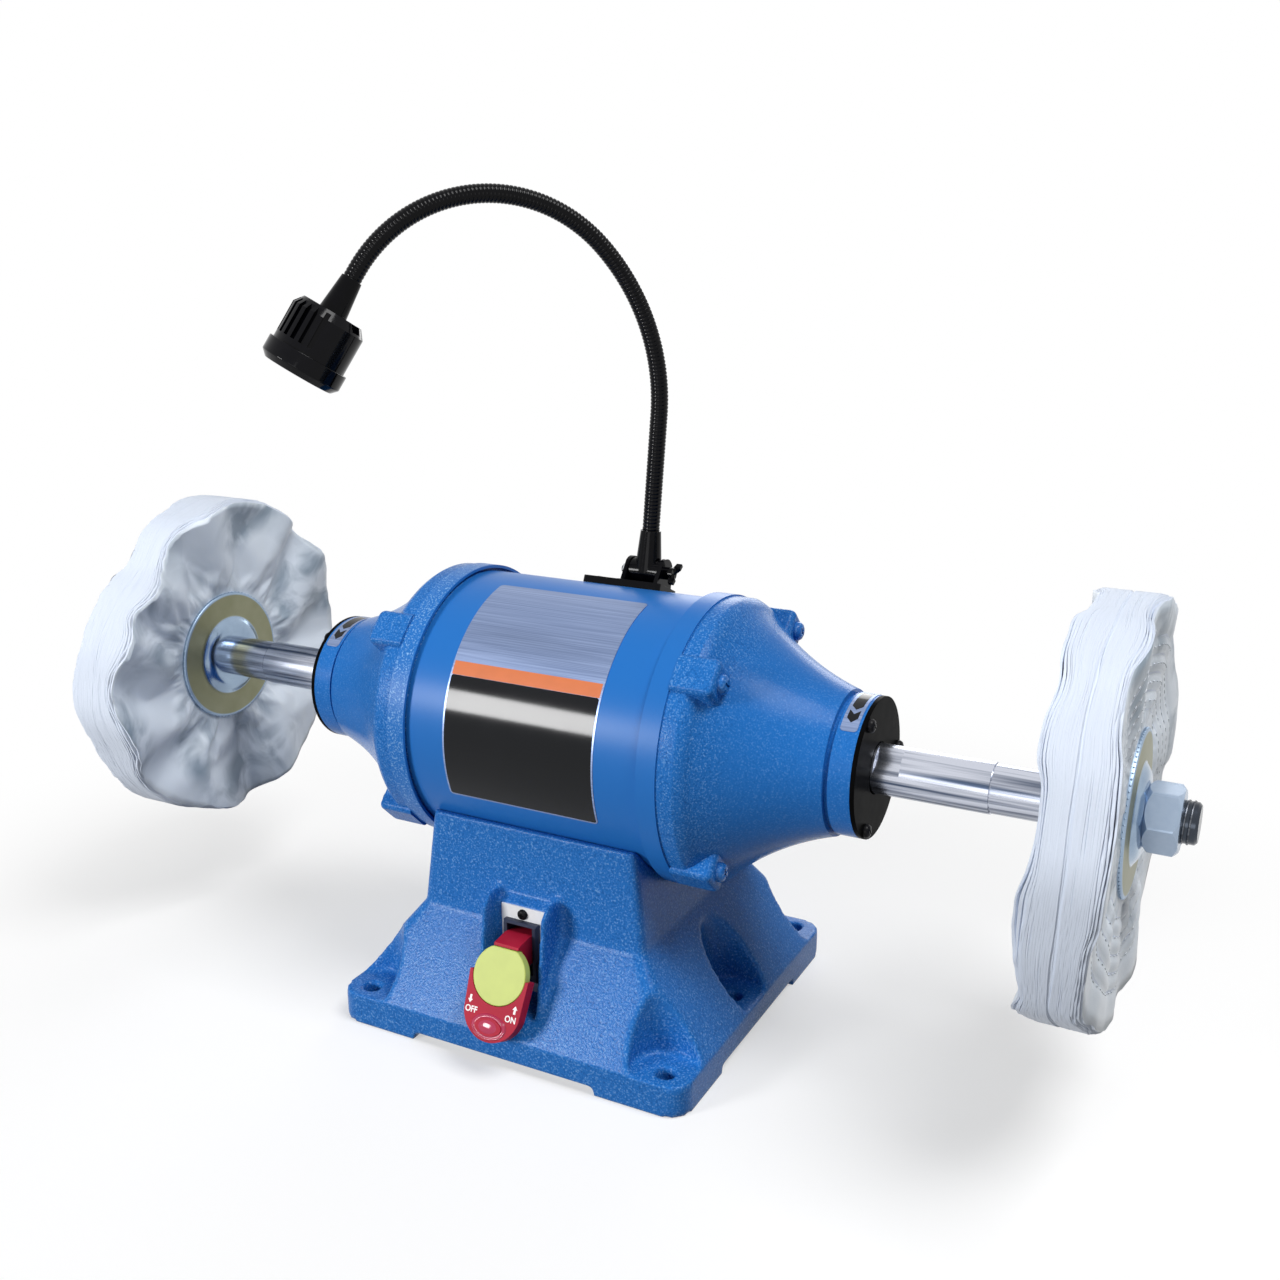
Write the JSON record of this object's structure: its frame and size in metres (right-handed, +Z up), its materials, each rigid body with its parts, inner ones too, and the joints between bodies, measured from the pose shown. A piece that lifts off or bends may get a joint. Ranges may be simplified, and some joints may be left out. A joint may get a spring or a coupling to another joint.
{
  "type": "bench buffer",
  "caption": "Bench buffer: a double-ended motor on a cast pedestal, a cotton wheel on each arbor, a lockable paddle switch and a gooseneck work lamp.",
  "frame": {"origin": "centre of the four corner base bolts, on the bench surface", "axes": "+X along the spindle to the operator's right, -Y towards the operator, +Z up"},
  "size_m": [0.8128, 0.2833, 0.5698],
  "materials": {
    "hammertone_blue": "hammertone enamel on cast iron",
    "bell_blue": "enamel on fine cast iron",
    "tube_blue": "smooth satin enamel",
    "black_enamel": "gloss enamel",
    "gooseneck_black": "gloss black ribbed tube",
    "black_plastic": "moulded",
    "lamp_black": "gloss enamel on die-cast shell",
    "screw_zinc": "zinc plated",
    "wing_black": "black finish",
    "spindle_steel": "turned and polished",
    "nut_steel": "zinc plated",
    "flange_zinc": "zinc plated pressing",
    "bearing_steel": "ground",
    "cotton": "loose muslin discs, sewn",
    "lamination_steel": "stacked sheet",
    "winding_copper": "enamelled copper wire, brass standing for copper",
    "rotor_aluminium": "cast",
    "sheet_steel": "zinc plated sheet",
    "plate_white": "white enamel",
    "switch_dark": "moulded",
    "paddle_red": "moulded",
    "key_yellow": "moulded",
    "inner_plastic": "moulded",
    "lens_clear": "clear",
    "board_white": "coated board"
  },
  "bodies": {
    "frame": {"base_casting": "hammertone_blue", "bottom_cover": "sheet_steel", "bottom_cover_screws": "screw_zinc", "motor_tube": "tube_blue", "stator_core": "lamination_steel", "stator_windings": "winding_copper", "end_bell_left": "bell_blue", "end_bell_right": "bell_blue", "end_bell_screws": "screw_zinc", "bearing_outer_ring_left": "bearing_steel", "bearing_outer_ring_right": "bearing_steel", "preload_washer": "bearing_steel", "bearing_cap_left": "black_enamel", "bearing_cap_right": "black_enamel", "bearing_cap_screws": "screw_zinc", "saddle_screws": "screw_zinc", "switch_plate": "plate_white", "switch_plate_screws": "screw_zinc", "switch_body": "switch_dark", "switch_pivot_pin": "screw_zinc", "start_capacitor": "inner_plastic", "capacitor_clamp": "sheet_steel", "start_switch": "inner_plastic", "cord_gland": "black_plastic", "lamp_bracket": "black_enamel", "lamp_bracket_screws": "screw_zinc", "pivot_nut": "screw_zinc"},
    "spindle": {"spindle": "spindle_steel", "rotor_core": "lamination_steel", "rotor_end_rings": "rotor_aluminium", "bearing_inner_ring_left": "bearing_steel", "bearing_inner_ring_right": "bearing_steel", "spindle_nut_left": "nut_steel", "spindle_nut_right": "nut_steel", "centrifugal_actuator": "inner_plastic", "wheel_flange_left_inner": "flange_zinc", "wheel_flange_left_outer": "flange_zinc", "wheel_flange_right_inner": "flange_zinc", "wheel_flange_right_outer": "flange_zinc", "buff_pack_left_inner": "cotton", "buff_pack_left_outer": "cotton", "buff_pack_right_inner": "cotton", "buff_pack_right_outer": "cotton"},
    "switch_paddle": {"switch_paddle": "paddle_red"},
    "lockout_key": {"lockout_key": "key_yellow"},
    "wing_screw": {"wing_screw": "wing_black"},
    "lamp_arm": {"lamp_knuckle": "black_plastic", "gooseneck": "gooseneck_black"},
    "lamp_head": {"lamp_ferrule": "black_plastic", "lamp_housing": "lamp_black", "lamp_bezel": "lamp_black", "lamp_lens": "lens_clear", "lamp_board": "board_white"}
  },
  "joints": [
    {"name": "spindle_spin", "type": "hinge", "parent": "frame", "child": "spindle", "pos_m": [0, 0, 0.21], "axis": [1, 0, 0], "continuous": true},
    {"name": "switch_toggle", "type": "hinge", "parent": "frame", "child": "switch_paddle", "pos_m": [0, -0.087, 0.076], "axis": [-1, 0, 0], "range_deg": [0, 18]},
    {"name": "key_slide", "type": "slide", "parent": "switch_paddle", "child": "lockout_key", "axis": [0, -0.9063, 0.4226], "range_m": [0, 0.02]},
    {"name": "lamp_tilt", "type": "hinge", "parent": "frame", "child": "lamp_arm", "pos_m": [0.024, 0.04433, 0.30958], "axis": [1, 0, 0], "range_deg": [-35, 35]},
    {"name": "wing_turn", "type": "hinge", "parent": "frame", "child": "wing_screw", "pos_m": [0.024, 0.04433, 0.30958], "axis": [1, 0, 0], "continuous": true},
    {"name": "gooseneck_bend", "type": "hinge", "parent": "lamp_arm", "child": "lamp_head", "pos_m": [-0.0514, -0.031, 0.564], "axis": [0.7071, -0.7071, 0], "range_deg": [-25, 25], "deforming": ["gooseneck"]}
  ]
}
